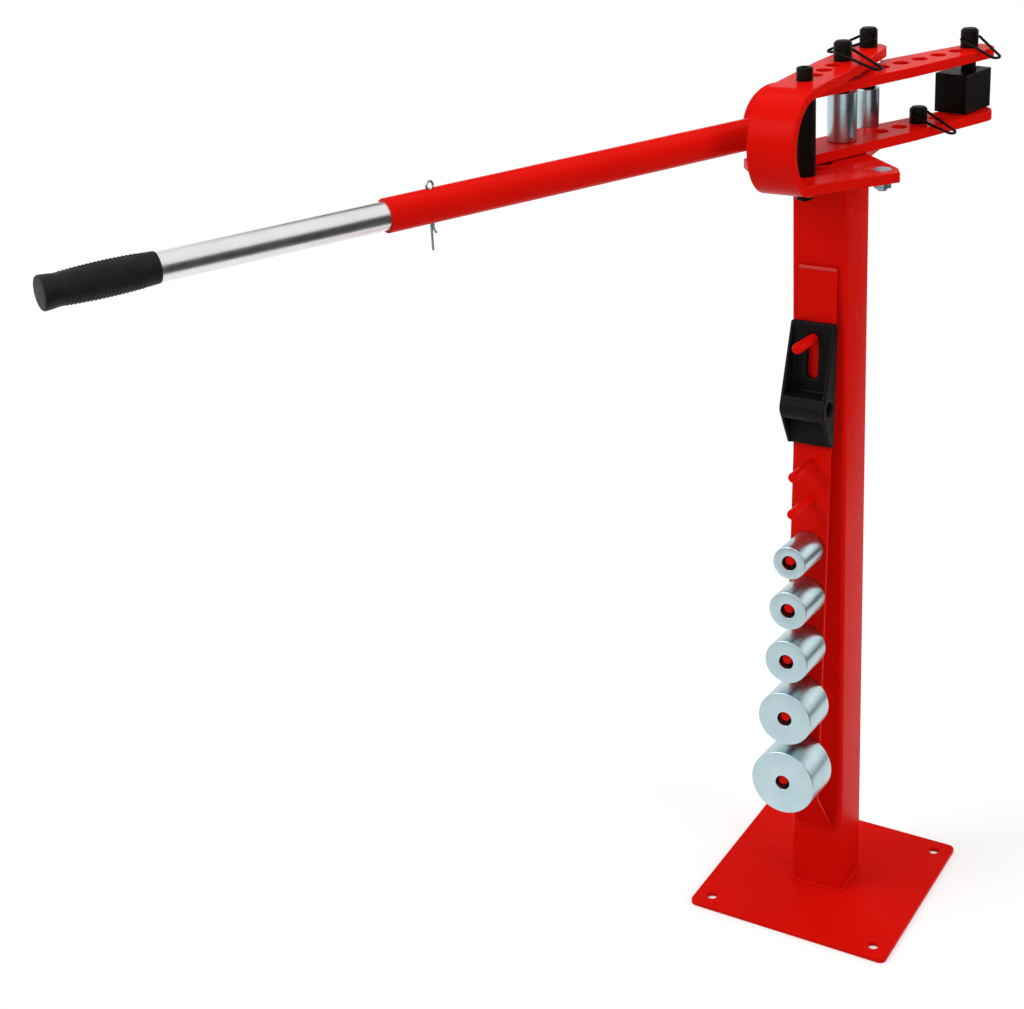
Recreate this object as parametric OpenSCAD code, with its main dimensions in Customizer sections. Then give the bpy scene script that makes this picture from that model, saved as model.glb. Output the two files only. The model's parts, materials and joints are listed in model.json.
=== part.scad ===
// Bar bender on a pedestal: a post on a square base, a bending head with a
// long lever on top, and a rack of spare forming dies down the front of the post.
// Millimetres. Origin: centre of the base plate's underside. +Z up, front is -Y.

/* [Base and post] */
// Side of the square base plate
base_side = 250; // [200:1:320]
// Thickness of the base plate
base_t = 6; // [4:0.5:12]
// Corner radius of the base plate
base_r = 8; // [2:0.5:20]
// Pitch of the four floor bolt holes
floor_pitch = 208; // [150:1:260]
// Diameter of the floor bolt holes
floor_hole_d = 12; // [8:0.5:16]
// Outer side of the square post tube
post_side = 63.5; // [50:0.5:80]
// Wall of the post tube
post_wall = 3; // [2:0.5:5]
// Outer corner radius of the post tube
post_r = 5; // [3.5:0.5:8]
// Length of the post tube
post_len = 893; // [600:1:1100]
// Distance of the post behind the base centre
post_back = 5; // [-20:1:30]
// Thickness of the plate that closes the post
cap_t = 6; // [3:0.5:10]
// Leg of the weld beads
weld_leg = 5; // [3:0.5:8]
// Distance of the head weld's ends from the strap's edges
weld_inset = 2; // [1:0.5:6]

/* [Frame yoke] */
// Thickness of the frame strap
frame_t = 11; // [8:0.5:14]
// Width of the frame strap
frame_w = 50; // [44:1:70]
// Outer height of the frame yoke
frame_h = 110; // [104:0.5:130]
// Distance from the pivot forward to the outside of the bend
frame_reach = 190; // [175:1:230]
// Pitch of the holes along the frame
frame_pitch = 25.4; // [22:0.2:30]
// Distance from the pivot back to the holding pin
hold_reach = 74; // [72:0.5:90]
// Radius of the frame's rear end
frame_end_r = 19.5; // [16:0.5:24]
// Distance of the pivot behind the base centre
pivot_y = 34; // [20:1:50]
// Distance in front of the pivot where the legs begin to taper
leg_taper = 14; // [5:1:30]
// Half width over the ears of the lower leg
ear_x = 88; // [80:1:110]
// Half length of an ear's outer edge
ear_edge = 8; // [4:1:14]
// Distance of the ear tips in front of the pivot
ear_fwd = 52; // [40:1:70]
// Distance of the ear's front root behind the bend
ear_root = 1; // [0.5:0.5:25]
// Length of the ear's rear slope
ear_rear = 60; // [40:1:90]
// Distance of the ear bolts from the centre line
ear_bolt_x = 66; // [55:1:74]
// Diameter of the ear bolts
ear_bolt_d = 10; // [6:0.5:12]
// Diametral clearance of the ear bolts
ear_bolt_clear = 0.4; // [0.2:0.1:1]
// Length of the ear bolts below the ears
ear_bolt_out = 12; // [8:0.5:20]
// Height of the ear nuts
ear_nut_h = 9; // [6:0.5:10]

/* [Pins and bails] */
// Diameter of the pin shanks
pin_d = 16; // [12:0.5:20]
// Diametral clearance of the pins in their holes
pin_clear = 1; // [0.6:0.1:2]
// Diameter of the pin heads
head_d = 19.5; // [19:0.5:26]
// Height of the pin heads
head_h = 21; // [18:0.5:26]
// Height of the bail hole above the seat
bail_z = 10.5; // [8:0.5:13]
// Chamfer of the pin heads
head_ch = 2.5; // [1:0.5:4]
// Wire diameter of the bails
wire_d = 3; // [2:0.25:4]
// Diametral clearance of the wire in its hole
wire_clear = 0.6; // [0.4:0.1:1]
// Length of a bail from its hole to the tip
bail_len = 53; // [44:1:60]
// Radius of the bail's tip
bail_tip_r = 5; // [4:0.5:8]
// Gap between the bail's legs and the head
bail_side = 1.8; // [1.7:0.1:2.5]
// Length of the forming pin below the lever
forming_out = 6.5; // [2:0.5:15]
// Height of the stop pin's head
stop_head_h = 18; // [16:0.5:22]
// Lead-in chamfer at the foot of each pin
pin_ch = 1.5; // [0.5:0.5:3]
// Resting direction of the centre bail in plan
centre_az = -17; // [-40:0.5:10]
// Droop of the centre bail
centre_dip = 16.5; // [0:0.5:17]
// Resting direction of the holding bail in plan
holding_az = 236; // [220:0.5:250]
// Droop of the holding bail
holding_dip = 10.5; // [0:0.1:10.5]
// Resting direction of the forming bail in plan
forming_az = -33.7; // [-50:0.1:-20]
// Droop of the forming bail
forming_dip = 17; // [0:0.5:17]
// Resting direction of the stop bail in plan
stop_az = -20; // [-30:0.5:0]
// Droop of the stop bail
stop_dip = 17; // [0:0.5:17]

/* [Lever] */
// Thickness of the lever strap
lever_t = 11; // [8:0.5:12]
// Width of the lever strap at the pivot
lever_w = 54; // [46:1:56]
// Gap between the lever and the frame's top leg
lever_gap = 5; // [1:0.5:8]
// Thickness of the washer under the lever
washer_t = 1.5; // [1:0.25:3]
// Outer diameter of the washer
washer_d = 36; // [26:1:44]
// Resting angle of the lever arm from +X
lever_angle = 64.2; // [58:0.1:66]
// Distance from the pivot back to the outside of the lever's bend
lever_back = 115; // [105:1:125]
// Distance along the arm where its taper begins
taper_u = 80; // [60:1:110]
// Distance along the arm to the centre of its round end
arm_end_u = 198; // [190:1:220]
// Radius of the arm's round end
arm_end_r = 19.5; // [18:0.5:24]
// Pitch of the holes in the arm
arm_pitch = 28; // [25:0.5:32]
// Distance along the arm to the forming pin
forming_u = 193; // [185:1:205]
// Offset of the forming pin from the arm's centre line
forming_v = 5.8; // [0:0.1:8]
// Clearance of the lever's edge around the holding die
relief_gap = 0.6; // [0.4:0.1:2]

/* [Forming block and roller] */
// Short side of the forming block
block_a = 39.5; // [36:0.5:50]
// Long side of the forming block
block_b = 54; // [40:0.5:60]
// Height of the forming block
block_h = 44; // [36:0.5:50]
// Offset of the block's bore from its centre
block_ecc = 6.3; // [0:0.1:7]
// Turn of the block against the lever arm
block_turn = 13.8; // [-45:0.1:45]
// Diameter of the stop roller
roller_d = 23; // [18:0.5:26]
// Diameter of the roller's screw
screw_d = 10; // [8:0.5:12]
// Diameter of the screw's head
screw_head_d = 17; // [14:0.5:20]
// Height of the screw's head
screw_head_h = 13.5; // [9:0.5:15]
// Width across flats of the screw's socket
screw_key = 8; // [5:0.5:10]
// Depth of the screw's socket
screw_key_depth = 6.5; // [4:0.5:8]
// Length of the screw below the frame
screw_out = 16; // [15:0.5:20]
// Height of the screw's nut above its washer face
screw_nut_h = 12; // [7:0.5:12]
// Thickness of the nut's washer face
nut_face_t = 2; // [1:0.5:3]
// Diametral clearance of the roller on its screw
screw_clear = 0.15; // [0.1:0.05:0.2]
// End gap of the roller between the frame legs
roller_gap = 0.4; // [0.3:0.1:1]

/* [Handle] */
// Outer diameter of the handle tube
tube_d = 33; // [28:0.5:40]
// Wall of the handle tube
tube_wall = 2.8; // [2:0.1:4]
// Distance from the pivot to the end of the handle tube
tube_reach = 560; // [450:1:700]
// Outer diameter of the extension tube
ext_d = 27; // [22:0.5:34]
// Wall of the extension tube
ext_wall = 2; // [1.5:0.1:3]
// Length of the extension inside the handle tube
ext_lap = 130; // [90:1:200]
// Distance from the pivot to the grip's inner end
grip_reach = 786; // [650:1:950]
// Length of the grip
grip_len = 105; // [80:1:130]
// Diameter of the grip at its fullest
grip_d = 33; // [30:0.5:40]
// Thickness of the grip's end wall
grip_end_t = 3; // [2:0.5:6]
// Number of ribs along the grip
grip_ribs = 22; // [12:1:36]
// Height of the grip ribs
rib_h = 0.7; // [0.3:0.1:1.5]
// Number of ribbed bands round the grip
grip_bands = 3; // [2:1:4]
// Width of the smooth bands between them, in degrees
smooth_arc = 36; // [20:1:50]
// Turn of the bands about the grip, in degrees
grip_turn = 13; // [0:1:60]
// Width of the line that parts a ribbed band in two rows, in degrees
part_arc = 5; // [3:1:10]
// Distance of the cotter from the handle tube's end
cotter_in = 49; // [30:1:90]
// Wire diameter of each cotter leg
cotter_wire = 2.6; // [2:0.1:3]
// Diametral clearance of the cotter in its holes
cotter_clear = 0.6; // [0.4:0.1:1]
// Length of the long cotter leg below the axis
cotter_down = 43; // [30:1:60]
// Height of the cotter eye above the axis
cotter_up = 25; // [22:1:32]

/* [Rack] */
// Width of the rack strip
rack_w = 44; // [36:1:56]
// Thickness of the rack strip
rack_t = 4; // [3:0.5:6]
// Height of the top of the rack strip
rack_top = 803; // [700:1:880]
// Outward slope of the rack strip, rise over run
rack_slope = 0.073; // [0.05:0.001:0.1]
// Height of the lower bend of the rack strip
rack_bend = 164; // [120:1:200]
// Drop from the lower bend back to the post
rack_drop = 74; // [50:1:100]
// Diameter of the rack pegs
peg_d = 11.5; // [8:0.5:12]
// Length of the rack pegs
peg_len = 52; // [46:1:60]
// Height of the peg that carries the angle die
angle_peg_z = 727; // [700:0.1:760]
// Height of the upper spare peg
spare_peg_1_z = 581; // [560:0.1:600]
// Height of the lower spare peg
spare_peg_2_z = 538; // [525:0.1:555]
// Height of the first die's peg
peg_38_z = 484.2; // [475:0.1:495]
// Height of the second die's peg
peg_44_z = 426.8; // [420:0.1:434]
// Height of the third die's peg
peg_51_z = 364.3; // [358:0.1:370]
// Height of the fourth die's peg
peg_63_z = 293.1; // [287:0.1:299]
// Height of the fifth die's peg
peg_76_z = 211.9; // [205:0.1:218]

/* [Dies] */
// End gap of a round die between the lever's arms
die_gap = 5.5; // [1:0.5:12]
// Bore of every round die
die_bore = 17; // [16.6:0.1:20]
// Edge chamfer of the round dies
die_ch = 1; // [0.5:0.25:2]
// Diameter of the die on the holding pin
d25 = 25.4; // [24:0.05:30]
// Diameter of the die on the centre pin
d32 = 31.75; // [26:0.05:36]
// Diameter of the first rack die
d38 = 38.1; // [30:0.05:40]
// Diameter of the second rack die
d44 = 44.45; // [40:0.05:46]
// Diameter of the third rack die
d51 = 50.8; // [46:0.05:56]
// Diameter of the fourth rack die
d63 = 63.5; // [58:0.05:66]
// Diameter of the fifth rack die
d76 = 76.2; // [70:0.05:78]
// Gap between a hung bore and its peg
hang_gap = 0.4; // [0.3:0.05:0.6]
// Gap under a piece that turns on a flat seat
seat_gap = 0.2; // [0.1:0.05:0.4]

/* [Angle die] */
// Width of the angle die
vd_w = 52; // [44:1:60]
// Length of the angle die
vd_len = 140; // [120:1:160]
// Distance of the nose from the upper end
vd_nose = 92; // [80:1:110]
// Nose radius of the angle die
vd_r = 17; // [15:0.5:20]
// Thickness of the angle die's ends
vd_end = 8; // [6:0.5:12]
// Thickness of the cheeks
vd_cheek = 4; // [3:0.5:8]
// Half width of the ridge over the nose
vd_rib = 13; // [10:0.5:16]
// Thickness of the floor between the cheeks
vd_floor = 7; // [5:0.5:7.5]
// Width of the hanging slot
vd_slot_w = 13; // [12.8:0.1:14]
// Distance of the slot's upper end from the upper end of the die
vd_slot_in = 12; // [10:1:24]
// Length of the hanging slot
vd_slot_len = 52; // [30:1:54]

/* [Hidden] */
$fn = 48;
hole_d = pin_d + pin_clear;
frame_z = base_t + post_len + cap_t;
head_z = frame_z + frame_h;
seat_z = frame_z + frame_t;
hold_y = pivot_y + hold_reach;
bend_r = frame_h / 2;
bend_y = pivot_y - frame_reach + bend_r;
roller_y = pivot_y - 4 * frame_pitch;
ear_y = pivot_y - ear_fwd;
lever_z = seat_z + washer_t;
lever_h = frame_h - 2 * frame_t - washer_t - lever_gap;
lever_top = lever_z + lever_h;
lever_mid = lever_z + lever_h / 2;
lever_seat = lever_z + lever_t;
lever_r = lever_h / 2;
die_len = lever_h - 2 * lever_t - die_gap;
lever_bend_u = -(lever_back - lever_r);
relief_u = hold_reach * sin(lever_angle);
relief_v = hold_reach * cos(lever_angle);
post_front = post_back - post_side / 2;
pin_len = frame_h - 1;
taper_y = pivot_y - leg_taper;
ear_root_y = bend_y + ear_root;
peg_z = [angle_peg_z, spare_peg_1_z, spare_peg_2_z, peg_38_z, peg_44_z, peg_51_z, peg_63_z, peg_76_z];
rack_n = norm([1, rack_slope]);
rack_tilt = atan(rack_slope);
red = [0.72, 0.05, 0.03];
zinc = [0.72, 0.75, 0.8];
black = [0.06, 0.06, 0.065];
chrome = [0.78, 0.78, 0.78];

// Angle of the tangent from a strap edge onto a round end
function tangent_a(half, run, r) = acos(r / norm([half, run])) - atan2(run, half);
// Y of the rack strip's front face at height z
function rack_y(z) = post_front - (rack_top - z) * rack_slope - rack_t * rack_n;
// A point in the lever's own plan, turned to its resting place
function lever_pt(u, v) = [u * cos(lever_angle) - v * sin(lever_angle),
  pivot_y + u * sin(lever_angle) + v * cos(lever_angle)];

module at_lever(u = 0, v = 0, z = 0) {
  p = lever_pt(u, v);
  translate([p[0], p[1], z])
    rotate([0, 0, lever_angle])
      children();
}

module round_square(side, r) {
  square([side, side - 2 * r], center = true);
  square([side - 2 * r, side], center = true);
  for (x = [-1, 1], y = [-1, 1])
    translate([x * (side / 2 - r), y * (side / 2 - r)])
      circle(r);
}

// Fillet bead around a square tube, its toe on z = 0
module square_bead(side, r, leg) {
  run = side - 2 * r;
  for (k = [0:3])
    rotate([0, 0, 90 * k]) {
      translate([side / 2, run / 2, 0])
        rotate([90, 0, 0])
          linear_extrude(run)
            polygon([[0, 0], [leg, 0], [0, leg]]);
      translate([run / 2, run / 2, 0])
        rotate_extrude(angle = 90)
          polygon([[r, 0], [r + leg, 0], [r, leg]]);
    }
}

// Half-round bend of a strap: axis along y at the origin, hollow side towards +x
module half_bend(r, t, width) {
  rotate([90, 0, 0])
    rotate([0, 0, 90])
      rotate_extrude(angle = 180)
        translate([r - t, -width / 2])
          square([t, width]);
}

// Plan outline of a strap along +x, tapering to a round end
module strap_plan(half, start_x, taper_x, end_x, end_r) {
  a = tangent_a(half, end_x - taper_x, end_r);
  tx = end_x + end_r * sin(a);
  ty = end_r * cos(a);
  polygon([[start_x, -half], [taper_x, -half], [tx, -ty], [tx, ty], [taper_x, half], [start_x, half]]);
  translate([end_x, 0])
    circle(end_r);
}

module hex(across, h) {
  cylinder(d = across / cos(30), h = h, $fn = 6);
}

module base_plate() {
  color(red)
    linear_extrude(base_t)
      difference() {
        round_square(base_side, base_r);
        for (x = [-1, 1], y = [-1, 1])
          translate([x * floor_pitch / 2, y * floor_pitch / 2])
            circle(d = floor_hole_d);
      }
}

module foot_weld() {
  color(red)
    translate([0, post_back, base_t])
      square_bead(post_side, post_r, weld_leg);
}

module post_tube() {
  color(red)
    translate([0, post_back, base_t])
      linear_extrude(post_len)
        difference() {
          round_square(post_side, post_r);
          round_square(post_side - 2 * post_wall, post_r - post_wall);
        }
}

module post_cap() {
  color(red)
    translate([0, post_back, base_t + post_len])
      linear_extrude(cap_t)
        round_square(post_side, post_r);
}

// Bead under the frame's lower leg along the two sides of the post
module head_weld() {
  color(red)
    for (s = [-1, 1])
      translate([0, post_back + s * post_side / 2, frame_z])
        rotate([0, 90, 0])
          translate([0, 0, -(frame_w / 2 - weld_inset)])
            linear_extrude(frame_w - 2 * weld_inset)
              polygon([[0, 0], [weld_leg, 0], [0, s * weld_leg]]);
}

module rack_strip() {
  n1 = [1, -rack_slope] / rack_n;
  f1 = [rack_y(rack_bend), rack_bend];
  n2 = [rack_drop, post_front - f1[0]] / norm([rack_drop, post_front - f1[0]]);
  k = (n1 + n2) * rack_t / (1 + n1 * n2);
  b0 = [post_front, rack_top];
  f0 = b0 - n1 * rack_t;
  zf = rack_bend - rack_drop;
  zb = f1[1] + (rack_t - n2[0] * (post_front - f1[0])) / n2[1];
  color(red)
    translate([-rack_w / 2, 0, 0])
      rotate([90, 0, 90])
        linear_extrude(rack_w)
          polygon([b0, f0, f1, [post_front, zf], [post_front, zb], f1 + k]);
}

// Places a child with its z axis along the peg at height z on the strip
module at_peg(z) {
  translate([0, rack_y(z), z])
    rotate([90 - rack_tilt, 0, 0])
      children();
}

module rack_pegs() {
  color(red)
    for (z = peg_z)
      at_peg(z) {
        cylinder(d = peg_d, h = peg_len - 1);
        translate([0, 0, peg_len - 1])
          cylinder(d1 = peg_d, d2 = peg_d - 2, h = 1);
      }
}

// Plan of one leg of the frame, from the bend to its round rear end
module leg_plan() {
  rotate(90)
    strap_plan(frame_w / 2, bend_y, taper_y, hold_y, frame_end_r);
}

// Pin holes and the screw hole down through one leg
module leg_holes() {
  for (y = [pivot_y, hold_y, pivot_y - frame_pitch, pivot_y - 2 * frame_pitch, pivot_y - 3 * frame_pitch])
    translate([0, y, -1])
      cylinder(d = hole_d, h = frame_t + 2);
  translate([0, roller_y, -1])
    cylinder(d = screw_d + screw_clear, h = frame_t + 2);
}

// Top leg of the bent strap
module frame_top() {
  color(red)
    translate([0, 0, head_z - frame_t])
      difference() {
        linear_extrude(frame_t)
          leg_plan();
        leg_holes();
      }
}

// Round front of the bent strap
module frame_bend() {
  color(red)
    translate([0, bend_y, frame_z + bend_r])
      rotate([0, 0, 90])
        half_bend(bend_r, frame_t, frame_w);
}

// Plan of the two ears and the web between them
module ears_plan() {
  half = [[frame_w / 2, ear_root_y], [ear_x, ear_y - ear_edge], [ear_x - ear_edge, ear_y + ear_edge],
    [frame_w / 4, ear_y + ear_edge + ear_rear]];
  polygon(concat(half, [for (k = [3:-1:0]) [-half[k][0], half[k][1]]]));
}

// Lower leg of the bent strap, with an ear on each side
module frame_foot() {
  color(red)
    translate([0, 0, frame_z])
      difference() {
        linear_extrude(frame_t) {
          leg_plan();
          ears_plan();
        }
        leg_holes();
        for (s = [-1, 1])
          translate([s * ear_bolt_x, ear_y, 0]) {
            translate([0, 0, -1])
              cylinder(d = ear_bolt_d + ear_bolt_clear, h = frame_t + 2);
            translate([0, 0, frame_t - ear_bolt_d / 2])
              cylinder(d1 = ear_bolt_d + ear_bolt_clear, d2 = 2 * (ear_bolt_d + ear_bolt_clear),
                h = ear_bolt_d / 2 + ear_bolt_clear / 2);
          }
      }
}

// Flat-head bolts carried in the ears, flush with the top so that the lever passes over
module ear_bolts() {
  cone_z = frame_t - ear_bolt_d / 2;
  color(zinc)
    for (s = [-1, 1])
      translate([s * ear_bolt_x, ear_y, frame_z]) {
        translate([0, 0, -ear_bolt_out])
          cylinder(d = ear_bolt_d, h = ear_bolt_out + cone_z + ear_bolt_clear / 2);
        translate([0, 0, cone_z])
          cylinder(d1 = ear_bolt_d, d2 = 2 * ear_bolt_d - ear_bolt_clear, h = ear_bolt_d / 2 - ear_bolt_clear / 2);
      }
}

module ear_nuts() {
  color(zinc)
    for (s = [-1, 1])
      translate([s * ear_bolt_x, ear_y, frame_z - ear_nut_h])
        difference() {
          hex(1.7 * ear_bolt_d, ear_nut_h);
          translate([0, 0, -1])
            cylinder(d = ear_bolt_d, h = ear_nut_h + 2);
        }
}

// Socket-head screw that carries the roller
module roller_screw() {
  edge = 1;
  color(black)
    translate([0, roller_y, 0]) {
      translate([0, 0, frame_z - screw_out])
        cylinder(d = screw_d, h = frame_h + screw_out);
      translate([0, 0, head_z])
        difference() {
          union() {
            cylinder(d = screw_head_d, h = screw_head_h - edge);
            translate([0, 0, screw_head_h - edge])
              cylinder(d1 = screw_head_d, d2 = screw_head_d - 2 * edge, h = edge);
          }
          translate([0, 0, screw_head_h - screw_key_depth])
            hex(screw_key, screw_key_depth + 1);
        }
    }
}

module roller_nut() {
  color(black)
    translate([0, roller_y, frame_z - screw_nut_h - nut_face_t])
      difference() {
        union() {
          hex(1.7 * screw_d, screw_nut_h);
          translate([0, 0, screw_nut_h])
            cylinder(d = 2.1 * screw_d, h = nut_face_t);
        }
        translate([0, 0, -1])
          cylinder(d = screw_d, h = screw_nut_h + nut_face_t + 2);
      }
}

module stop_roller() {
  h = frame_h - 2 * frame_t - 2 * roller_gap;
  color(black)
    translate([0, roller_y, seat_z + roller_gap])
      rotate_extrude()
        polygon([[screw_d / 2 + screw_clear / 2, 0], [roller_d / 2 - 1, 0], [roller_d / 2, 1],
          [roller_d / 2, h - 1], [roller_d / 2 - 1, h], [screw_d / 2 + screw_clear / 2, h]]);
}

// One flat arm of the lever: tapered, holed, and scalloped clear of the holding die
module lever_arm() {
  difference() {
    linear_extrude(lever_t)
      strap_plan(lever_w / 2, lever_bend_u, taper_u, arm_end_u, arm_end_r);
    for (k = [0, 2, 3, 4, 5, 6])
      translate([k * arm_pitch, 0, -1])
        cylinder(d = hole_d, h = lever_t + 2);
    translate([forming_u, forming_v, -1])
      cylinder(d = hole_d, h = lever_t + 2);
    translate([relief_u, relief_v, -1])
      cylinder(d = d25 + 2 * relief_gap, h = lever_t + 2);
  }
}

module upper_arm() {
  color(red)
    at_lever(0, 0, lever_top - lever_t)
      lever_arm();
}

module lower_arm() {
  color(red)
    at_lever(0, 0, lever_z)
      lever_arm();
}

// Closed end that joins the two arms and carries the handle
module lever_bend() {
  color(red)
    at_lever(lever_bend_u, 0, lever_mid)
      half_bend(lever_r, lever_t, lever_w);
}

module pivot_washer() {
  color(zinc)
    translate([0, pivot_y, seat_z])
      difference() {
        cylinder(d = washer_d, h = washer_t);
        translate([0, 0, -1])
          cylinder(d = hole_d, h = washer_t + 2);
      }
}

// Places a child with its z axis along the handle, away from the head
module at_handle(reach) {
  at_lever(0, 0, lever_mid)
    translate([-reach, 0, 0])
      rotate([0, -90, 0])
        children();
}

module cotter_hole() {
  translate([0, 0, -60])
    cylinder(d = 2 * cotter_wire + cotter_clear, h = 120);
}

// Handle tube, saddle-cut to the lever's bend
module handle_tube() {
  color(red)
    difference() {
      at_handle(lever_back - lever_r / 4)
        difference() {
          cylinder(d = tube_d, h = tube_reach - lever_back + lever_r / 4);
          translate([0, 0, -1])
            cylinder(d = tube_d - 2 * tube_wall, h = tube_reach - lever_back + lever_r / 4 + 2);
        }
      at_lever(lever_bend_u, 0, lever_mid)
        rotate([90, 0, 0])
          cylinder(r = lever_r, h = lever_w + 2, center = true);
      at_lever(-(tube_reach - cotter_in), 0, lever_mid)
        cotter_hole();
    }
}

module extension_tube() {
  color(chrome)
    difference() {
      at_handle(tube_reach - ext_lap)
        difference() {
          cylinder(d = ext_d, h = grip_reach + grip_len - grip_end_t - tube_reach + ext_lap);
          translate([0, 0, -1])
            cylinder(d = ext_d - 2 * ext_wall, h = grip_reach + grip_len - tube_reach + ext_lap + 2);
        }
      at_lever(-(tube_reach - cotter_in), 0, lever_mid)
        cotter_hole();
    }
}

// Moulded grip: full in the middle, waisted near the end flange, its ribs in bands of two rows
module grip() {
  r0 = ext_d / 2;
  wall = 0.8;
  ribs_from = 8;
  ribs_to = grip_len - 16;
  step = (ribs_to - ribs_from) / grip_ribs;
  band = 360 / grip_bands;
  function body_r(z) = r0 + wall + (grip_d / 2 - r0 - wall - rib_h) * sin(180 * min(1, z / (grip_len * 0.92)));
  module groove(from, arc) {
    rotate([0, 0, from])
      rotate_extrude(angle = arc)
        polygon(concat([for (j = [0:8]) let (z = ribs_from - 1 + j * (ribs_to - ribs_from + 2) / 8)
          [body_r(z) - 0.2, z]], [[grip_d, ribs_to + 1], [grip_d, ribs_from - 1]]));
  }
  color(black)
    at_handle(grip_reach)
      difference() {
        rotate_extrude()
          polygon(concat([[0, 0], [r0 + wall, 0], [r0 + 2 * wall, wall], [r0 + 2 * wall, 4]],
            [for (k = [0:grip_ribs - 1], j = [0:3])
              let (z = ribs_from + (k + [0, 0.2, 0.5, 0.7][j]) * step)
              [body_r(z) + [0, rib_h, rib_h, 0][j], z]],
            [[r0 + 1, grip_len - 12], [r0 + 1, grip_len - 6], [r0 + 2.2, grip_len - 4.5],
              [r0 + 2.2, grip_len - 1.5], [r0 + 1, grip_len], [0, grip_len]]));
        for (b = [0:grip_bands - 1]) {
          groove(grip_turn + b * band - smooth_arc / 2, smooth_arc);
          groove(grip_turn + (b + 0.5) * band - part_arc / 2, part_arc);
        }
        translate([0, 0, -1])
          cylinder(d = ext_d, h = grip_len - grip_end_t + 1);
      }
}

// Split pin: an eye above the tubes and two legs of unequal length
module cotter_pin() {
  w = cotter_wire;
  eye = 1.5 * w;
  top = cotter_up - eye - w;
  color(zinc)
    at_lever(-(tube_reach - cotter_in), 0, lever_mid) {
      translate([w / 2, 0, -cotter_down])
        cylinder(d = w, h = cotter_down + top + w / 2);
      translate([-w / 2, 0, -cotter_down * 0.6])
        cylinder(d = w, h = cotter_down * 0.6 + top + w / 2);
      translate([0, 0, top + eye])
        rotate([90, 0, 0])
          rotate_extrude()
            translate([eye, 0])
              circle(d = w);
    }
}

// Eccentric block that pushes the stock round the centre die
module forming_block() {
  color(black)
    at_lever(forming_u, forming_v, lever_seat + seat_gap)
      rotate([0, 0, block_turn])
        difference() {
          translate([-block_b / 2, block_ecc - block_a / 2, 0])
            cube([block_b, block_a, block_h]);
          translate([0, 0, -1])
            cylinder(d = hole_d, h = block_h + 2);
        }
}

// Headed pin with its seat at z = 0 and a cross hole for the bail along x
module headed_pin(len, hh) {
  difference() {
    union() {
      cylinder(d = head_d, h = hh - head_ch);
      translate([0, 0, hh - head_ch])
        cylinder(d1 = head_d, d2 = head_d - 2 * head_ch, h = head_ch);
      translate([0, 0, pin_ch - len])
        cylinder(d = pin_d, h = len - pin_ch);
      translate([0, 0, -len])
        cylinder(d1 = pin_d - 2 * pin_ch, d2 = pin_d, h = pin_ch);
    }
    translate([-head_d, 0, bail_z])
      rotate([0, 90, 0])
        cylinder(d = wire_d + wire_clear, h = 2 * head_d);
  }
}

// Wire loop through a pin head: its axle along x at the origin, its tip towards -y
module bail() {
  xb = head_d / 2 + wire_d / 2 + bail_side;
  tip = bail_len - bail_tip_r - wire_d / 2;
  bead = wire_d / 2 + 0.08;
  rotate([0, 90, 0])
    cylinder(d = wire_d, h = 2 * xb, center = true);
  for (s = [-1, 1]) {
    translate([s * xb, 0, 0])
      sphere(bead);
    translate([s * xb, 0, 0])
      rotate([90, 0, -s * atan2(xb - bail_tip_r, tip)])
        cylinder(d = wire_d, h = norm([xb - bail_tip_r, tip]));
    translate([s * bail_tip_r, -tip, 0])
      sphere(bead);
  }
  translate([0, -tip, 0])
    rotate([0, 0, 180])
      rotate_extrude(angle = 180)
        translate([bail_tip_r, 0])
          circle(d = wire_d);
}

module set_bail(az, dip) {
  rotate([0, 0, az + 90])
    rotate([dip, 0, 0])
      bail();
}

module centre_pin() {
  color(black)
    translate([0, pivot_y, head_z])
      rotate([0, 0, centre_az + 90])
        headed_pin(pin_len, head_h);
}

module holding_pin() {
  color(black)
    translate([0, hold_y, head_z])
      rotate([0, 0, holding_az + 90])
        headed_pin(pin_len, head_h);
}

module forming_pin() {
  p = lever_pt(forming_u, forming_v);
  color(black)
    translate([p[0], p[1], lever_top])
      rotate([0, 0, forming_az + 90])
        headed_pin(lever_h + forming_out, head_h);
}

module stop_pin() {
  p = lever_pt(4 * arm_pitch, 0);
  color(black)
    translate([p[0], p[1], lever_seat])
      rotate([0, 0, stop_az + 90])
        headed_pin(lever_t, stop_head_h);
}

module centre_bail() {
  color(black)
    translate([0, pivot_y, head_z + bail_z])
      set_bail(centre_az, centre_dip);
}

module holding_bail() {
  color(black)
    translate([0, hold_y, head_z + bail_z])
      set_bail(holding_az, holding_dip);
}

module forming_bail() {
  p = lever_pt(forming_u, forming_v);
  color(black)
    translate([p[0], p[1], lever_top + bail_z])
      set_bail(forming_az, forming_dip);
}

module stop_bail() {
  p = lever_pt(4 * arm_pitch, 0);
  color(black)
    translate([p[0], p[1], lever_seat + bail_z])
      set_bail(stop_az, stop_dip);
}

// Round die standing on z = 0
module round_die(d) {
  color(zinc)
    rotate_extrude()
      polygon([[die_bore / 2, die_ch / 2], [die_bore / 2 + die_ch / 2, 0], [d / 2 - die_ch, 0], [d / 2, die_ch],
        [d / 2, die_len - die_ch], [d / 2 - die_ch, die_len], [die_bore / 2 + die_ch / 2, die_len],
        [die_bore / 2, die_len - die_ch / 2]]);
}

// Hangs a round die by its bore on peg k, its back against the strip
module hung_die(d, k) {
  at_peg(peg_z[k])
    translate([0, -(die_bore - peg_d) / 2 + hang_gap, seat_gap])
      round_die(d);
}

module die_32() {
  translate([0, pivot_y, lever_seat + seat_gap])
    round_die(d32);
}

module die_25() {
  translate([0, hold_y, seat_z + seat_gap])
    round_die(d25);
}

module die_38() {
  hung_die(d38, 3);
}

module die_44() {
  hung_die(d44, 4);
}

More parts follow.
